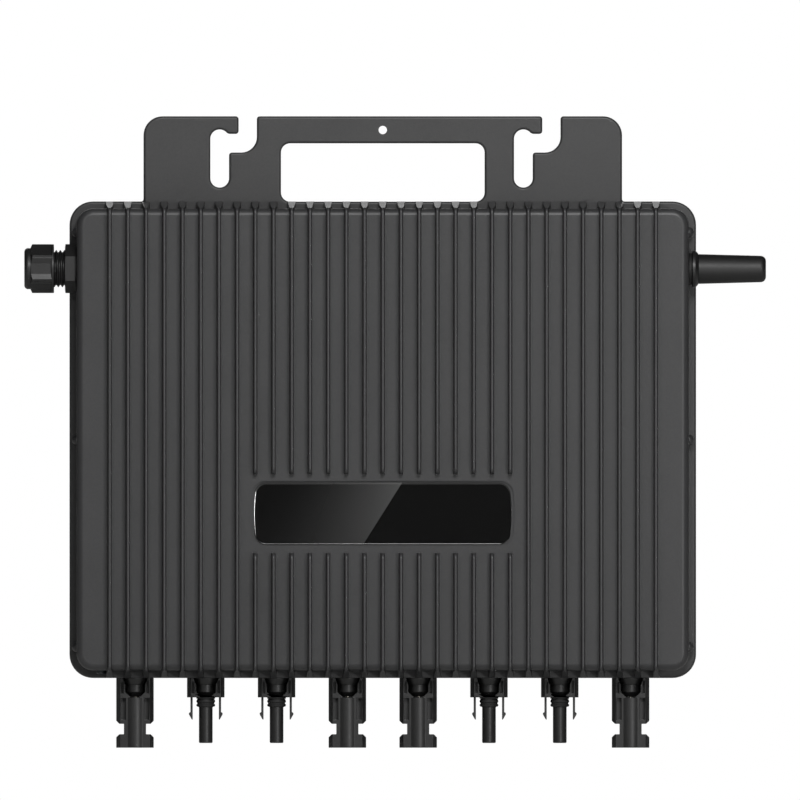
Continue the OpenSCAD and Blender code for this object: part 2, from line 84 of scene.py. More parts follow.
# Pale matt paper: even, with a hardly visible tooth
paper = bpy.data.materials.new("matt_paper")
paper.use_nodes = True
tree = paper.node_tree
tooth = add(tree, "ShaderNodeTexNoise", {"Scale": 180.0, "Detail": 3.0})
rise = add(tree, "ShaderNodeBump", {"Strength": 0.2, "Distance": 0.2*MM}, {"Height": tooth.outputs["Fac"]})
shader = tree.nodes["Principled BSDF"]
shader.inputs["Base Color"].default_value = linear("#f4f4f2")
shader.inputs["Roughness"].default_value = 0.8
tree.links.new(rise.outputs["Normal"], shader.inputs["Normal"])
bpy.ops.mesh.primitive_plane_add(size=9, location=(0, 0, cad_box[0][2] - 0.7*MM))
floor = bpy.context.object
floor.name = "floor"
floor.data.materials.append(paper)

# The camera sees a white surround, and the piece is lit by a dimmer one that is brighter above
world = bpy.data.worlds.new("studio")
world.use_nodes = True
bpy.context.scene.world = world
tree = world.node_tree
tree.nodes.clear()
place = add(tree, "ShaderNodeTexCoord")
height = add(tree, "ShaderNodeSeparateXYZ", links={"Vector": place.outputs["Generated"]})
glow = add(tree, "ShaderNodeMapRange", {"From Min": 0.0, "From Max": 0.9, "To Min": 0.02, "To Max": 0.12},
           {"Value": height.outputs["Z"]})
dim = add(tree, "ShaderNodeBackground", links={"Strength": glow.outputs["Result"]})
white = add(tree, "ShaderNodeBackground", {"Color": (1, 1, 1, 1), "Strength": 1.0})
seen = add(tree, "ShaderNodeLightPath")
pick_one = add(tree, "ShaderNodeMixShader", links={"Fac": seen.outputs["Is Camera Ray"]})
tree.links.new(dim.outputs["Background"], pick_one.inputs[1])
tree.links.new(white.outputs["Background"], pick_one.inputs[2])
add(tree, "ShaderNodeOutputWorld", links={"Surface": pick_one.outputs["Shader"]})


def softbox(name, turn, rise, distance, size, watts):
    """A square softbox aimed at the inverter, so many degrees to the right of the front and up."""
    across, up = math.radians(turn), math.radians(rise)
    place = Vector((math.sin(across)*math.cos(up), -math.cos(across)*math.cos(up), math.sin(up)))*distance
    bpy.ops.object.light_add(type="AREA", location=place)
    lamp = bpy.context.object
    lamp.name = name
    lamp.data.size = size
    lamp.data.energy = watts
    lamp.rotation_euler = (-place).to_track_quat("-Z", "Y").to_euler()


softbox("key", 8, 29, 2.2, 0.65, 25)
softbox("fill_left", -20, 20, 2.4, 0.4, 3.6)
softbox("fill_low", 20, -2, 2.2, 0.12, 6)
softbox("top", 0, 62, 2.2, 0.6, 2.5)
softbox("behind", 180, 8, 2.6, 1.3, 12)


# ---- hanger plate ----
# One laser-cut steel sheet, 3 mm thick, that closes the housing's back and hangs on the rail.
# Its edges are deburred, and it is powder coated matt dark grey like the housing.
def only(piece):
    """Leaves one object selected and active."""
    bpy.ops.object.select_all(action="DESELECT")
    piece.select_set(True)
    bpy.context.view_layer.objects.active = piece


def settle(piece):
    """Puts an object's place and turn into its mesh."""
    only(piece)
    bpy.ops.object.transform_apply(location=True, rotation=True, scale=True)
    return piece


def block(name, low, high):
    """A cuboid between two corners, in mm."""
    bpy.ops.mesh.primitive_cube_add(size=1, location=[(a + b)/2*MM for a, b in zip(low, high)])
    piece = bpy.context.object
    piece.name = name
    piece.scale = [(b - a)*MM for a, b in zip(low, high)]
    return settle(piece)


def pick(piece, kind, test):
    """Opens a piece in edit mode with only the vertices, edges or faces that pass a test selected."""
    only(piece)
    bpy.ops.object.mode_set(mode="EDIT")
    bpy.ops.mesh.select_mode(type=kind)
    bpy.ops.mesh.select_all(action="DESELECT")
    shape = bmesh.from_edit_mesh(piece.data)
    for element in {"VERT": shape.verts, "EDGE": shape.edges, "FACE": shape.faces}[kind]:
        if test(element):
            element.select_set(True)
    shape.select_flush_mode()
    bmesh.update_edit_mesh(piece.data)


def leave():
    """Closes edit mode."""
    bpy.ops.object.mode_set(mode="OBJECT")


def along(edge, axis):
    """True for an edge that runs along axis 0, 1 or 2."""
    run = (edge.verts[1].co - edge.verts[0].co).normalized()
    return abs(run[axis]) > 0.99


def middle(edge):
    """The middle of an edge, in mm."""
    return (edge.verts[0].co + edge.verts[1].co)/2/MM


def round_edges(piece, test, radius, segments=6):
    """Bevels the edges that pass a test, in mm."""
    pick(piece, "EDGE", test)
    bpy.ops.mesh.bevel(offset=radius*MM, segments=segments, affect="EDGES")
    leave()
    return piece


def corners(piece, axis, radius, segments=8):
    """Rounds the edges of a block that run along one axis."""
    return round_edges(piece, lambda e: along(e, axis), radius, segments)


def united(pieces):
    """Joins objects that stay apart from each other into one object."""
    only(pieces[0])
    for piece in pieces:
        piece.select_set(True)
    if len(pieces) > 1:
        bpy.ops.object.join()
    return pieces[0]


def combine(piece, operation, *others):
    """Cuts other shapes out of a piece, or welds them to it, one after another."""
    for other in others:
        only(piece)
        step = piece.modifiers.new("combine", "BOOLEAN")
        step.operation = operation
        step.solver = "EXACT"
        step.object = other
        bpy.ops.object.modifier_apply(modifier=step.name)
        bpy.data.objects.remove(other)
    return piece


def smooth(piece, angle=35):
    """Smooth shading that keeps flat faces flat and sharp corners sharp."""
    only(piece)
    bpy.ops.object.shade_smooth_by_angle(angle=math.radians(angle))
    even = piece.modifiers.new("even", "WEIGHTED_NORMAL")
    even.keep_sharp = True
    bpy.ops.object.modifier_apply(modifier=even.name)
    return piece


def soften(piece, width, segments=2, angle=35):
    """Breaks all sharp edges by a small radius, in mm."""
    only(piece)
    edge = piece.modifiers.new("edges", "BEVEL")
    edge.width = width*MM
    edge.segments = segments
    edge.limit_method = "ANGLE"
    edge.angle_limit = math.radians(angle)
    edge.use_clamp_overlap = False
    bpy.ops.object.modifier_apply(modifier=edge.name)
    return smooth(piece)


def turned(name, profile, segments=48):
    """A turned piece: a circle extruded and resized from point to point of (radius, height), in mm.
    A profile that ends where it starts is a ring, and any other is capped at both ends."""
    radius, level = profile[0]
    bpy.ops.mesh.primitive_circle_add(vertices=segments, radius=radius*MM, location=(0, 0, level*MM))
    piece = bpy.context.object
    piece.name = name
    settle(piece)
    pick(piece, "VERT", lambda v: True)
    closed = profile[0] == profile[-1]
    if not closed:
        bpy.ops.mesh.edge_face_add()
        bpy.ops.mesh.select_all(action="SELECT")
        bpy.ops.mesh.delete(type="ONLY_FACE")
        bpy.ops.mesh.select_all(action="SELECT")
    for (r0, z0), (r1, z1) in zip(profile, profile[1:]):
        bpy.ops.mesh.extrude_region_move(TRANSFORM_OT_translate={"value": (0, 0, (z1 - z0)*MM)})
        bpy.ops.transform.resize(value=(r1/r0, r1/r0, 1), center_override=(0, 0, z1*MM))
    if closed:
        bpy.ops.mesh.select_all(action="SELECT")
        bpy.ops.mesh.remove_doubles(threshold=0.002*MM)
    else:
        bpy.ops.mesh.edge_face_add()
        leave()
        first = [v.index for v in piece.data.vertices][:segments]
        pick(piece, "VERT", lambda v: v.index in first)
        bpy.ops.mesh.edge_face_add()
    bpy.ops.mesh.select_all(action="SELECT")
    bpy.ops.mesh.normals_make_consistent(inside=False)
    leave()
    return piece


def laid(piece, axis, place):
    """Lays a piece that was made along +Z along another axis, with its foot at a place in mm."""
    turns = {"+X": Matrix.Rotation(math.radians(90), 4, "Y"),
             "-X": Matrix.Rotation(math.radians(-90), 4, "Y"),
             "-Y": Matrix.Rotation(math.radians(90), 4, "X"),
             "+Z": Matrix.Identity(4)}
    piece.data.transform(Matrix.Translation(Vector(place)*MM) @ turns[axis])
    return piece


def arc(x, y, radius, start, end, steps=5):
    """Points of a round stretch of a profile."""
    turns = [math.radians(start + (end - start)*i/steps) for i in range(steps + 1)]
    return [(x + radius*math.cos(t), y + radius*math.sin(t)) for t in turns]


def grained(name, shades, grain, roughness, relief, coarse=40, **shader_values):
    """A finish with a fine grain: two shades, a range of roughness and a relief, with sizes in mm."""
    made = bpy.data.materials.new(name)
    made.use_nodes = True
    tree = made.node_tree
    place = add(tree, "ShaderNodeTexCoord")
    fine = add(tree, "ShaderNodeTexNoise", {"Scale": 1/(grain*MM), "Detail": 4.0, "Roughness": 0.6},
               {"Vector": place.outputs["Object"]})
    cloud = add(tree, "ShaderNodeTexNoise", {"Scale": 1/(coarse*MM), "Detail": 2.0},
                {"Vector": place.outputs["Object"]})
    both = add(tree, "ShaderNodeMath", {1: 0.7}, {0: fine.outputs["Fac"]}, operation="MULTIPLY")
    some = add(tree, "ShaderNodeMath", {1: 0.3}, {0: cloud.outputs["Fac"]}, operation="MULTIPLY")
    total = add(tree, "ShaderNodeMath", links={0: both.outputs[0], 1: some.outputs[0]}, operation="ADD")
    ramp = add(tree, "ShaderNodeValToRGB", links={"Fac": total.outputs[0]})
    ramp.color_ramp.elements[0].position = 0.3
    ramp.color_ramp.elements[1].position = 0.7
    ramp.color_ramp.elements[0].color = linear(shades[0])
    ramp.color_ramp.elements[1].color = linear(shades[1])
    rough = add(tree, "ShaderNodeMapRange",
                {"From Min": 0.3, "From Max": 0.7, "To Min": roughness[0], "To Max": roughness[1]},
                {"Value": total.outputs[0]})
    bump = add(tree, "ShaderNodeBump", {"Strength": 1.0, "Distance": relief*MM},
               {"Height": fine.outputs["Fac"]})
    shader = tree.nodes["Principled BSDF"]
    tree.links.new(ramp.outputs["Color"], shader.inputs["Base Color"])
    tree.links.new(rough.outputs["Result"], shader.inputs["Roughness"])
    tree.links.new(bump.outputs["Normal"], shader.inputs["Normal"])
    for key, value in shader_values.items():
        shader.inputs[key.replace("_", " ")].default_value = value
    return made


def given(piece, material):
    """Gives a piece, or a carried-over node, one material all over."""
    if piece.material_slots:
        for place in piece.material_slots:
            place.material = material
    else:
        piece.data.materials.append(material)
    return piece


def fitted(piece, body, slot, material, *nodes):
    """A finished piece takes its material, rides on its body and stands for its nodes."""
    given(piece, material)
    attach(piece, body)
    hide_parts(*nodes)


# Powder coat: a matt polyester skin whose orange-peel grain is really 0.3 mm and is drawn at
# 0.9 mm, so that it shows as the soft mottle that such a coat has
powder_coat = grained("powder_coated_aluminium", ("#2f2f30", "#383839"), 0.9, (0.36, 0.47), 0.02, IOR=1.5)
powder_coat_sheet = grained("powder_coated_steel", ("#2f2f30", "#383838"), 0.9, (0.37, 0.48), 0.02, IOR=1.5)

plate_low, plate_high, plate_x = -121.7, 121.7, 160
hanger_x, hanger_top = 122.2, 165.2
plate_t = 3
hook_places = (-83.3, 71.8)
hook_r, hook_low, hook_high = 4.775, 128.825, 158.475
channel, lip, lip_low, hook_floor = 18.97, 9.68, 156.2, 146.7
hand_x, hand_low, hand_high = 52, 121.6, 151.4
before, behind = -9, 5  # Y of the ends of every cutter that goes through the plate
base_plate = block("base_plate", (-plate_x, -plate_t, plate_low), (plate_x, 0, plate_high))
corners(base_plate, 1, 12, 10)
hanger = block("hanger", (-hanger_x, -plate_t, 100), (hanger_x, 0, hanger_top))
round_edges(hanger, lambda e: along(e, 1) and middle(e).z > 150, 9.7, 10)
combine(base_plate, "UNION", hanger)
hand_hole = block("hand_hole", (-hand_x, before, hand_low), (hand_x, behind, hand_high))
corners(hand_hole, 1, 4.7)
combine(base_plate, "DIFFERENCE", hand_hole)
for x in hook_places:
    slot = block("slot", (x - hook_r, before, hook_low), (x + hook_r, behind, hook_high))
    corners(slot, 1, hook_r - 0.005, 12)
    passage = block("passage", (x, before, hook_floor), (x + channel, behind, lip_low))
    entry = block("entry", (x + lip, before, hook_floor), (x + channel, behind, hanger_top + 5))
    combine(base_plate, "DIFFERENCE", slot, passage, entry)
pick(base_plate, "FACE", lambda f: True)
bpy.ops.mesh.dissolve_limited(angle_limit=math.radians(1))
leave()


def near(edge, points, reach=0.4):
    """True for an edge through the plate at one of some places."""
    spot = middle(edge)
    return along(edge, 1) and any(math.hypot(spot.x - px, spot.z - pz) < reach for px, pz in points)


wide_bends = [(x + channel, hook_floor) for x in hook_places]
hook_corners = ((lip, lip_low), (lip, hanger_top), (channel, hanger_top), (hook_r, hook_floor))
small_bends = [(x + run, z) for x in hook_places for run, z in hook_corners]
round_edges(base_plate, lambda e: near(e, wide_bends), 7.9, 8)
round_edges(base_plate, lambda e: near(e, small_bends), 1.5, 4)
soften(base_plate, 1.3, 6, 50)
earth_profile = [(2.9, -0.5), (2.15, 0.25), (2.15, 2.75), (2.9, 3.5)]
earth_hole = laid(turned("earth_hole", earth_profile, 32), "-Y", (0, 0, 158.2))
boss_places = [(s*156.15, z) for s in (-1, 1) for z in (-105.8, 0, 106)]
lug_x = 106.9
screw_places = boss_places + [(s*lug_x, 119.2) for s in (-1, 1)]
screw_places += [(x, -117.8) for x in (-108.5, 0, 108.5)]
sinks = []
for x, z in screw_places:
    sinks.append(laid(turned("sink", [(3.5, -0.5), (1.7, 1.3), (1.7, 6)], 32), "-Y", (x, 0, z)))
combine(base_plate, "DIFFERENCE", united([earth_hole] + sinks))
smooth(base_plate)
fitted(base_plate, "root", "plate_paint", powder_coat_sheet, "base_plate")


# ---- housing ----
# One aluminium die casting: a rounded tray with cooling ribs that stand up from its front and
# run over its top and bottom walls. It is screwed to the plate from behind and powder coated.
case_x, case_low, case_high, case_front = 156.35, -117.8, 118.0, -32
wall = 4.5
rib_crest, rib_root, rib_heel = -38, -31.4, -20.6
crest_low, crest_high = -117.96, 118.25
rib_pitch = 9.3
rib_count = 31
first_short, last_short = 8, 22
gap_low, gap_high = -57.9, -17.6
label_z = -37.6
housing = block("housing", (-case_x, case_front, case_low), (case_x, -plate_t, case_high))
corners(housing, 1, 8.5, 10)
round_edges(housing, lambda e: all(v.co.y/MM < case_front + 0.01 for v in e.verts), 3.5, 6)

rib = block("rib", (-2, rib_crest, plate_low), (2, -plate_t - 0.02, plate_high))
pick(rib, "VERT", lambda v: v.co.y/MM < rib_crest + 0.1 and v.co.z > 0)
bpy.ops.transform.translate(value=(0, 0, (crest_high - plate_high)*MM))
leave()
pick(rib, "VERT", lambda v: v.co.y/MM < rib_crest + 0.1 and v.co.z < 0)
bpy.ops.transform.translate(value=(0, 0, (crest_low - plate_low)*MM))
leave()
pick(rib, "FACE", lambda f: f.normal.y < -0.9)
bpy.ops.transform.resize(value=(0.3, 1, 1), center_override=(0, 0, 0))
leave()
for depth, width in ((rib_root, 2.4), (rib_heel, 3.2)):
    pick(rib, "FACE", lambda f: True)
    bpy.ops.mesh.bisect(plane_co=(0, depth*MM, 0), plane_no=(0, 1, 0))
    leave()
    pick(rib, "VERT", lambda v: abs(v.co.y/MM - depth) < 0.05)
    half_now = max(v.co.x for v in bmesh.from_edit_mesh(rib.data).verts if v.select)/MM
    bpy.ops.transform.resize(value=(width/2/half_now, 1, 1), center_override=(0, 0, 0))
    leave()
pick(rib, "VERT", lambda v: abs(v.co.y/MM - rib_heel) < 0.05 and v.co.z < 0)
for v in bmesh.from_edit_mesh(rib.data).verts:
    if v.select:
        v.co.z = plate_low*MM
bmesh.update_edit_mesh(rib.data)
leave()
round_edges(rib, lambda e: along(e, 0) and middle(e).y < rib_crest + 0.1, 2.4, 6)


def copied(piece, shift):
    """A copy with a mesh of its own, moved by a shift in mm."""
    twin = piece.copy()
    twin.data = piece.data.copy()
    bpy.context.collection.objects.link(twin)
    twin.data.transform(Matrix.Translation(Vector(shift)*MM))
    return twin


short_rib = copied(rib, (0, 0, 0))
combine(short_rib, "DIFFERENCE", block("gap", (-9, -50, gap_low), (9, case_front + 0.6, gap_high)))


def beside_label(edge):
    """True for the edge across a short rib's crest where the gap for the label begins or ends."""
    spot = middle(edge)
    at_gap = min(abs(spot.z - gap_low), abs(spot.z - gap_high)) < 0.2
    return along(edge, 0) and spot.y < rib_crest + 0.1 and at_gap


round_edges(short_rib, beside_label, 3, 4)


def on_crest(edge):
    """True for an edge between the crest, with its bends, and one of a rib's two flanks."""
    flanks = [abs(f.normal.x) > 0.9 for f in edge.link_faces]
    return flanks[0] != flanks[1] and all(v.co.y/MM < rib_root - 0.2 for v in edge.verts)


for kind in (rib, short_rib):
    round_edges(kind, on_crest, 0.35, 2)
ribs = []
for i in range(rib_count):
    kind = short_rib if first_short <= i <= last_short else rib
    ribs.append(copied(kind, ((i - (rib_count - 1)/2)*rib_pitch, 0, 0)))
for kind in (rib, short_rib):
    bpy.data.objects.remove(kind)
combine(housing, "UNION", united(ribs))

joint_y = -plate_t - 0.03
ledge = corners(block("ledge", (-140.5, -17.6, plate_low), (140.5, joint_y, -114.1)), 0, 0.5, 3)
bosses = []
for x, z in boss_places:
    boss = turned("boss", [(2.7, 0), (2.7, 6.3)] + arc(0, 6.3, 2.7, 10, 84, 5), 28)
    bosses.append(laid(boss, "-Y", (x, joint_y, z)))
lugs = []
for x in (-lug_x, lug_x):
    lugs.append(corners(block("lug", (x - 2.8, -7.4, 114.6), (x + 2.8, joint_y, 122.2)), 1, 0.5, 2))
combine(housing, "UNION", ledge, united(bosses), united(lugs))

inner_x = case_x - wall
inner_low, inner_high = case_low + wall, case_high - wall
cavity = block("cavity", (-inner_x, -28, inner_low), (inner_x, -plate_t + 1, inner_high))
combine(housing, "DIFFERENCE", corners(cavity, 1, 6.25, 6))
pillars = []
for x in (-135, -45, 45, 135):
    for z in (-86, 98):
        pillars.append(laid(turned("pillar", [(3.5, 8.2), (3.5, 29.5)], 24), "-Y", (x, 0, z)))
combine(housing, "UNION", united(pillars))


def bulged(piece):
    """Bows the short sides of a rounded block outwards, as the label and its recess are."""
    pick(piece, "FACE", lambda f: True)
    for step in range(-3, 4):
        bpy.ops.mesh.select_all(action="SELECT")
        bpy.ops.mesh.bisect(plane_co=(0, 0, (label_z + step*3.2)*MM), plane_no=(0, 0, 1))
    shape = bmesh.from_edit_mesh(piece.data)
    for v in shape.verts:
        if abs(v.co.x) > 60*MM:
            rise = max(0, 1 - ((v.co.z/MM - label_z)/15.7)**2)
            v.co.x += math.copysign(rise*1.3*MM, v.co.x)
    bmesh.update_edit_mesh(piece.data)
    leave()
    return piece


recess = corners(block("recess", (-66.0, -40, label_z - 16.6), (66.0, -30.8, label_z + 16.6)), 1, 5.8)
gland_place = (-case_x, -15.5, 87.4)
antenna_place = (case_x, -15.5, 87.2)
light_place = (-143.6, -17.5, case_low)
connector_y = -10.2
panel_x = [(i - 3.5)*36.16 for i in range(8)]
holes = [laid(turned("gland_hole", [(9.6, -6), (9.6, 3)]), "-X", gland_place),
         laid(turned("antenna_hole", [(6.1, -6), (6.1, 3)]), "+X", antenna_place),
         laid(turned("light_hole", [(2.1, -4), (2.1, 6)], 24), "+Z", light_place)]
for x in panel_x:
    panel_hole = turned("panel_hole", [(6.6, -1), (6.6, 1.2), (5.6, 1.2), (5.6, 10)])
    holes.append(laid(panel_hole, "+Z", (x, connector_y, plate_low)))
for x, z in screw_places:
    holes.append(laid(turned("thread", [(1.25, -1), (1.25, 4)], 16), "-Y", (x, -plate_t, z)))
combine(housing, "DIFFERENCE", bulged(recess), united(holes))
smooth(housing, 30)
fitted(housing, "root", "housing_paint", powder_coat, "housing")


# ---- label ----
# A thin black polycarbonate plate, glued into the housing's recess. Its back is printed black,
# and a grey painted reflection lies on its left, brighter towards the top, and ends at a slanted line.
label = block("label_plate", (-64.5, -31.85, label_z - 15.7), (64.5, -30.85, label_z + 15.7))
bulged(corners(label, 1, 4.9, 8))
pick(label, "FACE", lambda f: f.normal.y < -0.9)
bpy.ops.mesh.dissolve_faces()
bpy.ops.mesh.inset(thickness=0.9*MM, depth=0)
bpy.ops.transform.translate(value=(0, 0.25*MM, 0))
leave()
soften(label, 0.15, 2, 30)
# Glossy: it mirrors the room faintly over the printed black
gloss = bpy.data.materials.new("back_printed_polycarbonate_with_painted_reflection")
gloss.use_nodes = True
tree = gloss.node_tree
place = add(tree, "ShaderNodeTexCoord")
centred = add(tree, "ShaderNodeMapping", {"Location": (0, 0, -label_z*MM)},
              {"Vector": place.outputs["Object"]})
spot = add(tree, "ShaderNodeSeparateXYZ", links={"Vector": centred.outputs["Vector"]})
# The distance to the slanted line, which leans 0.63 mm to the right for each mm up
lean = add(tree, "ShaderNodeMath", {1: 0.63}, {0: spot.outputs["Z"]}, operation="MULTIPLY")
side = add(tree, "ShaderNodeMath", links={0: spot.outputs["X"], 1: lean.outputs[0]}, operation="SUBTRACT")
left = add(tree, "ShaderNodeMapRange", {"From Min": -66*MM, "From Max": 0.0, "To Min": 0.0, "To Max": 1.0},
           {"Value": side.outputs[0]})
curve = add(tree, "ShaderNodeMath", {1: 2.2}, {0: left.outputs["Result"]}, operation="POWER")
up = add(tree, "ShaderNodeMapRange", {"From Min": -16*MM, "From Max": 16*MM, "To Min": 0.55, "To Max": 1.0},
         {"Value": spot.outputs["Z"]})
sheen = add(tree, "ShaderNodeMath", links={0: curve.outputs[0], 1: up.outputs["Result"]},
            operation="MULTIPLY")
cut_off = add(tree, "ShaderNodeMath", {1: 0.0}, {0: side.outputs[0]}, operation="LESS_THAN")
painted_reflection_mask = add(tree, "ShaderNodeMath", links={0: sheen.outputs[0], 1: cut_off.outputs[0]},
               operation="MULTIPLY")
# Painted reflection: the base colour goes from black to grey towards the left and the top, and stops at the
# slanted line
black_and_painted_reflection = add(tree, "ShaderNodeValToRGB", links={"Fac": painted_reflection_mask.outputs[0]})
black_and_painted_reflection.color_ramp.elements[0].color = linear("#0b0b0b")
black_and_painted_reflection.color_ramp.elements[1].color = linear("#505050")
shader = tree.nodes["Principled BSDF"]
tree.links.new(black_and_painted_reflection.outputs["Color"], shader.inputs["Base Color"])
shader.inputs["Roughness"].default_value = 0.12
shader.inputs["IOR"].default_value = 1.58
fitted(label, "root", "label_gloss", gloss, "label_plate")


# ---- status light ----
# A smoked acrylic light guide pressed into the bottom wall; its flange shows below the wall.
window_profile = [(1.2, -1.9), (2.1, -1.9), (2.45, -1.6), (2.5, -1.2), (2.5, 0), (2.0, 0.0),
                  (2.0, 5.5), (1.2, 5.9)]
window = laid(turned("status_led_window", window_profile, 32), "+Z", light_place)
smooth(window)
# Smoked and polished: it looks like a dark slot with a thin glint
acrylic = grained("smoked_acrylic", ("#24272a", "#303437"), 3, (0.1, 0.18), 0.002, IOR=1.49)
fitted(window, "root", "light_window", acrylic, "status_led_window")


# ---- cable gland ----
# A moulded nylon gland for an M20 hole: a hexagon body with a sealing washer against the wall,
# and a six-sided nut on its thread that squeezes a slotted claw and a rubber seal on the cable.
# The nylon is nearly black with a soft sheen, the claw's a shade lighter. The rubber is dull.
nylon = grained("moulded_nylon", ("#111111", "#191919"), 1.1, (0.34, 0.46), 0.008, IOR=1.53)
rubber = grained("moulded_rubber", ("#101010", "#181818"), 0.8, (0.6, 0.75), 0.01, IOR=1.52)
claw_nylon = grained("moulded_light_nylon", ("#232323", "#2d2d2d"), 1.1, (0.36, 0.48), 0.008, IOR=1.53)


def hexagon(name, corner, low, high, chamfer):
    """A six-sided piece along +Z with its corners turned down at the outer end."""
    centre = (0, 0, (low + high)/2*MM)
    bpy.ops.mesh.primitive_cylinder_add(vertices=6, radius=corner*MM, depth=(high - low)*MM,
                                        location=centre, rotation=(0, 0, math.radians(30)))
    piece = bpy.context.object
    piece.name = name
    settle(piece)
    cone = [(corner + 3, low - 3), (corner + 3, high - chamfer), (corner - 2.2*chamfer, high + 0.001),
            (1, high + 0.001)]
    return combine(piece, "INTERSECT", turned("cone", cone, 64))


def threaded(piece, low, high, crest, root, pitch):
    """Cuts a helical thread into the rings of a turned piece between two heights, in mm."""
    for v in piece.data.vertices:
        level, radius = v.co.z/MM, v.co.xy.length/MM
        if low <= level <= high and radius > root - 0.1:
            turn = (level/pitch - math.atan2(v.co.y, v.co.x)/(2*math.pi)) % 1
            depth = min(1, max(0, 1.6*abs(2*turn - 1) - 0.3))
            v.co.xy *= (root + (crest - root)*depth)/radius
    return piece


gland_body = hexagon("gland_body", 12.5, 0.9, 5.95, 0.7)
rings = [5.9 + 0.26*i for i in range(24)]
core_profile = [(9.4, -10.5), (9.4, 3)] + [(9.5, z) for z in rings]
core_profile += [(8.55, 12.2), (8.55, 19.9), (8.35, 20.0), (6.8, 20.0), (6.6, 19.8),
                 (6.6, -10.4), (9.4, -10.5)]
core = turned("core", core_profile, 64)
threaded(core, rings[0] + 0.1, 12.0, 9.5, 8.4, 2.08)
combine(gland_body, "DIFFERENCE", turned("clear", [(9.0, -12), (9.0, 30)], 64))
body_parts = united([gland_body, core])
laid(body_parts, "-X", gland_place)
smooth(body_parts, 30)
fitted(body_parts, "root", "gland_nylon", nylon, "gland_body")

washer_profile = [(9.6, 0), (11.3, 0), (11.6, 0.25), (11.6, 0.65), (11.3, 0.9), (9.6, 0.9), (9.6, 0)]
gland_washer = turned("gland_washer", washer_profile, 64)
laid(gland_washer, "-X", gland_place)
fitted(smooth(gland_washer), "root", "seal_rubber", rubber, "gland_washer")

# The nut's grip has six crests with a broad flat between each two, a round ring at the foot
# and a turned-down nose; it turns on its thread and carries claw and seal along.
grip_in, grip_out, nut_out = 11.55, 23.65, 26.75
nut_r, flat_r, crest_turn, flat_turn = 12.5, 10.95, 3.9, 15.5
foot = grip_in + 0.3
grip = turned("gland_nut", [(9.6, foot), (nut_r, foot), (nut_r, grip_out), (9.6, grip_out), (9.6, foot)], 24)
angles = sorted([60*k + a for k in range(6) for a in (-crest_turn, crest_turn, flat_turn, 60 - flat_turn)])
for v in grip.data.vertices:
    if v.co.xy.length > 11*MM:
        order = round(math.degrees(math.atan2(v.co.y, v.co.x)) % 360/15) % 24
        angle = angles[order]
        radius = nut_r if min(angle % 60, 60 - angle % 60) < 5 else flat_r
        turn = math.radians(angle)
        v.co.xy = Vector((math.cos(turn), math.sin(turn)))*radius*MM
cone = [(14, 8), (14, grip_out - 1.6), (10.4, grip_out + 0.01), (1, grip_out + 0.01)]
combine(grip, "INTERSECT", turned("cone", cone, 64))
soften(grip, 0.22, 2, 12)
ring_profile = [(9.7, grip_in), (12.2, grip_in), (12.45, grip_in + 0.25), (12.45, grip_in + 1.1),
                (12.1, grip_in + 1.3), (9.7, grip_in + 1.3), (9.7, grip_in)]
foot_ring = turned("foot_ring", ring_profile, 64)
nose_profile = [(7.2, 22.4), (10.5, 22.4), (10.5, 24.75)] + arc(8.55, 24.75, 2, 8, 90, 6)
nose_profile += [(7.6, nut_out), (7.2, nut_out - 0.4), (7.2, 22.4)]
nose = turned("nose", nose_profile, 64)
gland_nut = united([grip, smooth(foot_ring), smooth(nose)])
laid(gland_nut, "-X", gland_place)
fitted(gland_nut, "gland_nut", "gland_nylon", nylon, "gland_nut")

insert_in, insert_out = 12.2, 22.2
claw_profile = [(7.3, insert_in), (8.4, insert_in), (8.4, insert_out - 0.8), (8.0, insert_out),
                (7.3, insert_out), (7.3, insert_in)]
claw = turned("gland_claw", claw_profile, 48)
slits = []
for turn in (0, 60, 120):
    slit = block("slit", (-10, -0.6, 16), (10, 0.6, 26))
    slit.data.transform(Matrix.Rotation(math.radians(turn), 4, "Z"))
    slits.append(slit)
combine(claw, "DIFFERENCE", *slits)
laid(claw, "-X", gland_place)
fitted(smooth(claw), "gland_insert", "claw_nylon", claw_nylon, "gland_claw")
seal_profile = [(5.3, insert_in), (7.2, insert_in), (7.2, insert_out), (5.6, insert_out),
                (5.0, insert_out - 0.6), (5.0, insert_in + 0.3), (5.3, insert_in)]
seal = turned("gland_seal", seal_profile, 48)
laid(seal, "-X", gland_place)
fitted(smooth(seal), "gland_insert", "seal_rubber", rubber, "gland_seal")


# ---- antenna ----
# A stub antenna: a thermoplastic rubber sleeve over a brass core, moulded on a round collar that
# a nut clamps to the wall with a rubber washer under it.
# The sleeve is smooth and shows one broad soft highlight; the collar is a little glossier
elastomer = grained("moulded_thermoplastic_rubber", ("#101010", "#161616"), 1.4, (0.44, 0.54), 0.006, IOR=1.5)
collar_plastic = grained("moulded_collar_nylon", ("#131313", "#1b1b1b"), 1.1, (0.36, 0.46), 0.006, IOR=1.53)
gasket_t = 1.6
gasket_profile = [(6.1, 0), (7.9, 0), (8.1, 0.2), (8.1, gasket_t - 0.2), (7.9, gasket_t),
                  (6.1, gasket_t), (6.1, 0)]
washer = turned("antenna_gasket", gasket_profile, 64)
laid(washer, "+X", antenna_place)
fitted(smooth(washer), "root", "seal_rubber", rubber, "antenna_gasket")
collar_profile = [(1.6, -9), (6, -9), (6, gasket_t), (8.75, gasket_t), (9.27, 2.05), (9.27, 3.3),
                  (9.05, 3.75), (7.8, 4.85), (1.6, 4.85), (1.6, -9)]
collar = turned("antenna_collar", collar_profile, 64)
laid(collar, "+X", antenna_place)
fitted(smooth(collar, 25), "root", "antenna_collar_plastic", collar_plastic, "antenna_collar")
taper = [(7.6 - 0.83*i/6, 5.1 + 31.3*i/6) for i in range(7)]
rod_profile = [(3, 4.85), (7.35, 4.85)] + taper + arc(4.05, 36.65, 2.7, 6, 90, 7) + [(0.8, 39.35)]
rod = turned("antenna_rod", rod_profile, 64)
laid(rod, "+X", antenna_place)
fitted(smooth(rod, 40), "root", "antenna_sleeve", elastomer, "antenna_rod")


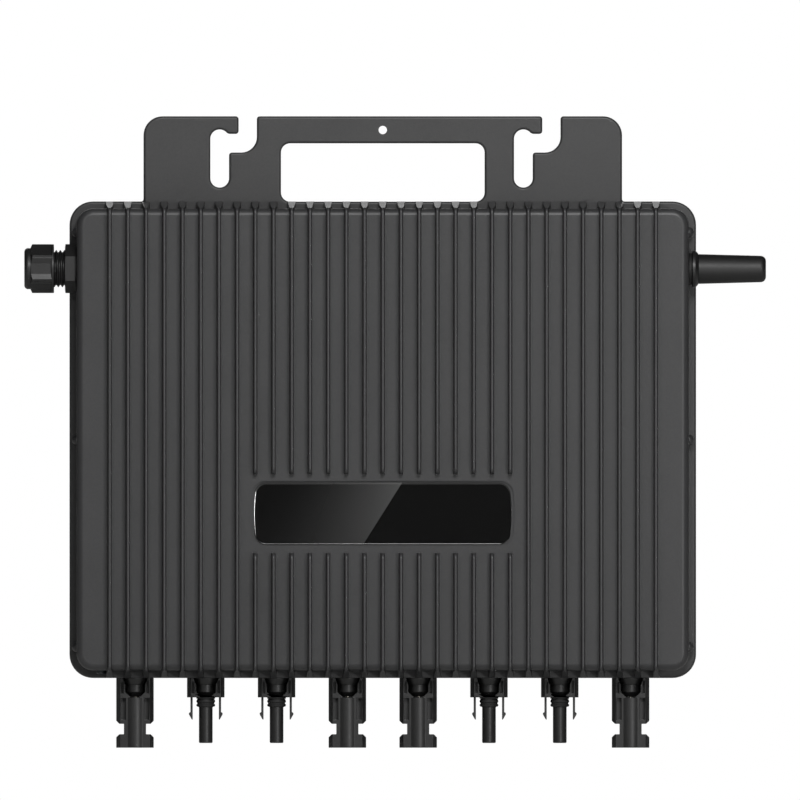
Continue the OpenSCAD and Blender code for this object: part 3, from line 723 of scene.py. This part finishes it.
# ---- panel connectors ----
# Two kinds of moulded panel connectors, four of each. The wide ones hold a pin in a shell whose
# windows catch the mating plug's fingers. The slim ones hold a socket in a tube and have fingers.
# A tough polycarbonate blend: nearly black, smooth and a little glossy
blend_plastic = grained("moulded_polycarbonate_blend", ("#121212", "#191919"), 1.2, (0.36, 0.46), 0.006,
                        IOR=1.56)
half_w, flat_x, flat_y, edge_y = 9.575, 7.65, 6.05, 3.2
head_h, shell_h, tube_h = 9.9, 35.6, 33.2


def shell_body(name, low, high):
    """A block with its sides drawn in towards both ends, as wide as a connector."""
    piece = block(name, (-flat_x, -flat_y, low), (flat_x, flat_y, high))
    for sign in (-1, 1):
        pick(piece, "FACE", lambda f: f.normal.x*sign > 0.9)
        bpy.ops.mesh.extrude_region_move(TRANSFORM_OT_translate={"value": (sign*(half_w - flat_x)*MM, 0, 0)})
        bpy.ops.transform.resize(value=(1, edge_y/flat_y, 1), center_override=(0, 0, 0))
        leave()
    return piece


def extruded(name, outline, near_y, far_y):
    """A flat outline of (x, z) points, in mm, filled and given depth along Y."""
    bpy.ops.mesh.primitive_circle_add(vertices=len(outline), fill_type="NGON")
    piece = bpy.context.object
    piece.name = name
    for v, (x, z) in zip(piece.data.vertices, outline):
        v.co = Vector((x, near_y, z))*MM
    pick(piece, "FACE", lambda f: True)
    bpy.ops.mesh.extrude_region_move(TRANSFORM_OT_translate={"value": (0, (far_y - near_y)*MM, 0)})
    bpy.ops.mesh.select_all(action="SELECT")
    bpy.ops.mesh.normals_make_consistent(inside=False)
    leave()
    return piece


def connector_head(name):
    """The head of both kinds: a frame with a stepped round core in a pocket on front and back."""
    head = shell_body(name, -head_h, 0)
    right = [(6.3, 1), (6.3, -0.8), (5.2, -3.4), (5.2, -7.2), (2.6, -9.7)]
    outline = right + [(-x, z) for x, z in reversed(right)]
    pockets = []
    for sign in (-1, 1):
        pockets.append(extruded("pocket", outline, sign*0.8, sign*8))
        low_y, high_y = sorted((sign*2.5, sign*8))
        pockets += [block("slot", (s*6.5 - 0.7, low_y, -7.9), (s*6.5 + 0.7, high_y, -1.3)) for s in (-1, 1)]
    for pocket in pockets:
        combine(head, "DIFFERENCE", pocket)
    steps = [(1, 0), (6.1, 0), (6.0, -0.8), (5.05, -3.35), (4.8, -3.4), (4.8, -7.1), (2.4, -9.6), (1, -9.6)]
    return combine(head, "UNION", turned("core", steps, 40))


def with_shank(model):
    """Joins the shank that goes through the wall to a model, as a closed shape in the same mesh."""
    outline = [(3.2, -1), (5.5, -1), (5.5, 15.6), (5.1, 16), (3.2, 16), (3.2, -1)]
    return united([smooth(model, 30), smooth(turned("shank", outline, 40), 30)])


pin_model = connector_head("pin_model")
lower = shell_body("lower", -shell_h, -head_h + 0.01)
barrel_profile = [(6, -shell_h), (6.7, -shell_h), (7, -shell_h + 0.3), (7, -head_h - 0.2),
                  (6.5, -head_h + 0.005)]
combine(lower, "UNION", turned("barrel", barrel_profile, 48))
notches = []
notch_low, notch_high = -28.7, -23.4
for sign in (-1, 1):
    near_x, far_x = sorted((sign*5.65, sign*8))
    notch = block("notch", (near_x, -9, notch_low), (far_x, 9, notch_high))
    pick(notch, "FACE", lambda f: f.normal.x*sign > 0.9)
    bpy.ops.mesh.extrude_region_move(TRANSFORM_OT_translate={"value": (sign*4*MM, 0, 0)})
    flare = (notch_high - notch_low + 8)/(notch_high - notch_low)
    bpy.ops.transform.resize(value=(1, 1, flare), center_override=(0, 0, (notch_low + notch_high)/2*MM))
    leave()
    notches.append(notch)
    for end in (-1, 1):
        near_y, far_y = sorted((end*2.4, end*7.6))
        notches.append(block("window", (sign*5.95 - 1.25, near_y, -21.4), (sign*5.95 + 1.25, far_y, -10.2)))
combine(lower, "DIFFERENCE", united(notches))
combine(pin_model, "UNION", lower)
mouth_profile = [(5.05, -36), (5.05, -35.6), (4.85, -35.4), (4.85, -30.6), (3.6, -30.6), (3.6, -12.1),
                 (2.3, -12.1), (2.3, 18)]
mouth = turned("mouth", mouth_profile, 40)
ends = [block("end", (s*7.65 - 1.25, -2.5, -37), (s*7.65 + 1.25, 2.5, -28)) for s in (-1, 1)]
combine(pin_model, "DIFFERENCE", mouth, united(ends))
with_shank(soften(pin_model, 0.18, 2, 40))

socket_model = connector_head("socket_model")
tube_profile = [(2.1, -tube_h), (3.1, -tube_h), (3.5, -tube_h + 0.4), (3.5, -14.8), (3.9, -14.8),
                (3.9, -10.7), (4.8, -10.55), (4.8, -9.6), (4.4, -9.0), (2, -9.0)]
combine(socket_model, "UNION", turned("tube", tube_profile, 48))
bore_profile = [(2.4, -34), (2.4, -33.2), (2.1, -32.9), (2.1, -30.1), (2.6, -30), (2.6, 18)]
combine(socket_model, "DIFFERENCE", turned("bore", bore_profile, 40))
with_shank(soften(socket_model, 0.15, 2, 40))

# A latch finger: a thin spring arm, moulded on at its root, with a barb near its tip
finger_model = block("finger_model", (-0.59, -2.2, -10.6), (0.59, 2.2, 0.72))
pick(finger_model, "FACE", lambda f: True)
for level in (-6.8, -7.2, -8.0):
    bpy.ops.mesh.select_all(action="SELECT")
    bpy.ops.mesh.bisect(plane_co=(0, 0, level*MM), plane_no=(0, 0, 1))
leave()
pick(finger_model, "VERT", lambda v: v.co.x > 0 and -8.1 < v.co.z/MM < -7.1)
bpy.ops.transform.translate(value=(0.76*MM, 0, 0))
leave()
pick(finger_model, "VERT", lambda v: v.co.x > 0 and v.co.z/MM < -10.5)
bpy.ops.transform.translate(value=(-0.69*MM, 0, 0))
leave()
soften(finger_model, 0.12, 2, 30)

sites = {"pin": [panel_x[i] for i in (0, 3, 4, 7)], "socket": [panel_x[i] for i in (1, 2, 5, 6)]}
for kind, model in (("pin", pin_model), ("socket", socket_model)):
    for number, x in enumerate(sites[kind], 1):
        piece = copied(model, (x, connector_y, plate_low))
        piece.name = f"{kind}_connector_{number}.look"
        fitted(piece, "root", "connector_plastic", blend_plastic, f"{kind}_connector_{number}")
for number in range(1, 9):
    side = -1 if number % 2 else 1
    piece = copied(finger_model, (0, 0, 0))
    if side < 0:
        piece.data.transform(Matrix.Rotation(math.pi, 4, "Z"))
    root = Vector((sites["socket"][(number - 1)//2] + side*7.25, connector_y, plate_low - 10.6))
    piece.data.transform(Matrix.Translation(root*MM))
    piece.name = f"latch_finger_{number}.look"
    fitted(piece, f"latch_{number}", "finger_plastic", blend_plastic, f"latch_finger_{number}")
for model in (pin_model, socket_model, finger_model):
    bpy.data.objects.remove(model)


# ---- seals, screws and contacts ----
# Bought parts: zinc-plated countersunk screws, tin-plated turned contacts and rubber seals.
zinc = grained("zinc_plated_steel", ("#8e9194", "#a2a5a8"), 0.7, (0.28, 0.42), 0.004, Metallic=1.0)
tin = grained("tin_plated_copper", ("#b9b3a4", "#cdc7b8"), 0.9, (0.25, 0.38), 0.003, Metallic=1.0)
nickel = grained("nickel_plated_brass", ("#9c9a92", "#b1afa7"), 0.8, (0.2, 0.32), 0.003, Metallic=1.0)
brass = grained("drawn_brass_wire", ("#a98a4c", "#bd9d5c"), 0.6, (0.26, 0.4), 0.003, Metallic=1.0)
bought = {zinc: ("cover_screws", "board_screws"), tin: ("contact_pins", "contact_sockets"),
          rubber: ("housing_gasket", "connector_panel_seals", "connector_o_rings"),
          nylon: ("gland_locknut", "connector_locknuts"), nickel: ("antenna_locknut",),
          brass: ("antenna_core",)}
for material, names in bought.items():
    for name in names:
        given(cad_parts[name], material)


# ---- electronics inside the case ----
# Two boards of green glass epoxy carry wound ferrite transformers, capacitors, chokes, relays and
# transistors, which press against the housing's front through soft pads. All are bought parts.
mask = grained("solder_mask_on_glass_epoxy", ("#1f5233", "#2b6840"), 1.6, (0.28, 0.4), 0.004, 12, IOR=1.55)
ferrite = grained("sintered_ferrite", ("#26272a", "#37383c"), 0.9, (0.55, 0.7), 0.01, IOR=1.6)
enamelled = grained("enamelled_copper_wire", ("#8f4f22", "#b5713a"), 0.8, (0.22, 0.36), 0.03, 9, IOR=1.55)
sleeve = grained("shrink_sleeve_on_aluminium", ("#1b2836", "#26384a"), 1.2, (0.2, 0.3), 0.003, IOR=1.53)
film_box = grained("moulded_polyester_box", ("#8b6c30", "#a3834a"), 1.0, (0.3, 0.42), 0.004, IOR=1.54)
relay_case = grained("moulded_polyester_case", ("#2b2f35", "#363b42"), 1.0, (0.32, 0.45), 0.004, IOR=1.54)
epoxy = grained("moulded_epoxy", ("#1d1e1f", "#282a2b"), 0.9, (0.5, 0.64), 0.008, IOR=1.56)
silicone = grained("filled_silicone_pad", ("#7d8995", "#919ca8"), 1.3, (0.65, 0.8), 0.01, IOR=1.43)
terminal_nylon = grained("moulded_green_nylon", ("#33613f", "#43774f"), 1.0, (0.36, 0.48), 0.005, IOR=1.53)
jacket = grained("extruded_black_jacket", ("#191919", "#222222"), 1.0, (0.42, 0.54), 0.003, IOR=1.5)
silicone_wire = grained("silicone_insulated_wire", ("#701a1a", "#862626"), 1.0, (0.45, 0.58), 0.004, IOR=1.43)
fitted_with = {mask: ("circuit_board", "radio_board"), ferrite: ("transformer_cores",),
               enamelled: ("transformer_windings", "filter_chokes"), sleeve: ("electrolytic_capacitors",),
               film_box: ("film_capacitors",), relay_case: ("relays",), epoxy: ("power_transistors",),
               silicone: ("thermal_pads",), terminal_nylon: ("ac_terminal",), jacket: ("antenna_lead",),
               silicone_wire: ("panel_leads",)}
for material, names in fitted_with.items():
    for name in names:
        given(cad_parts[name], material)
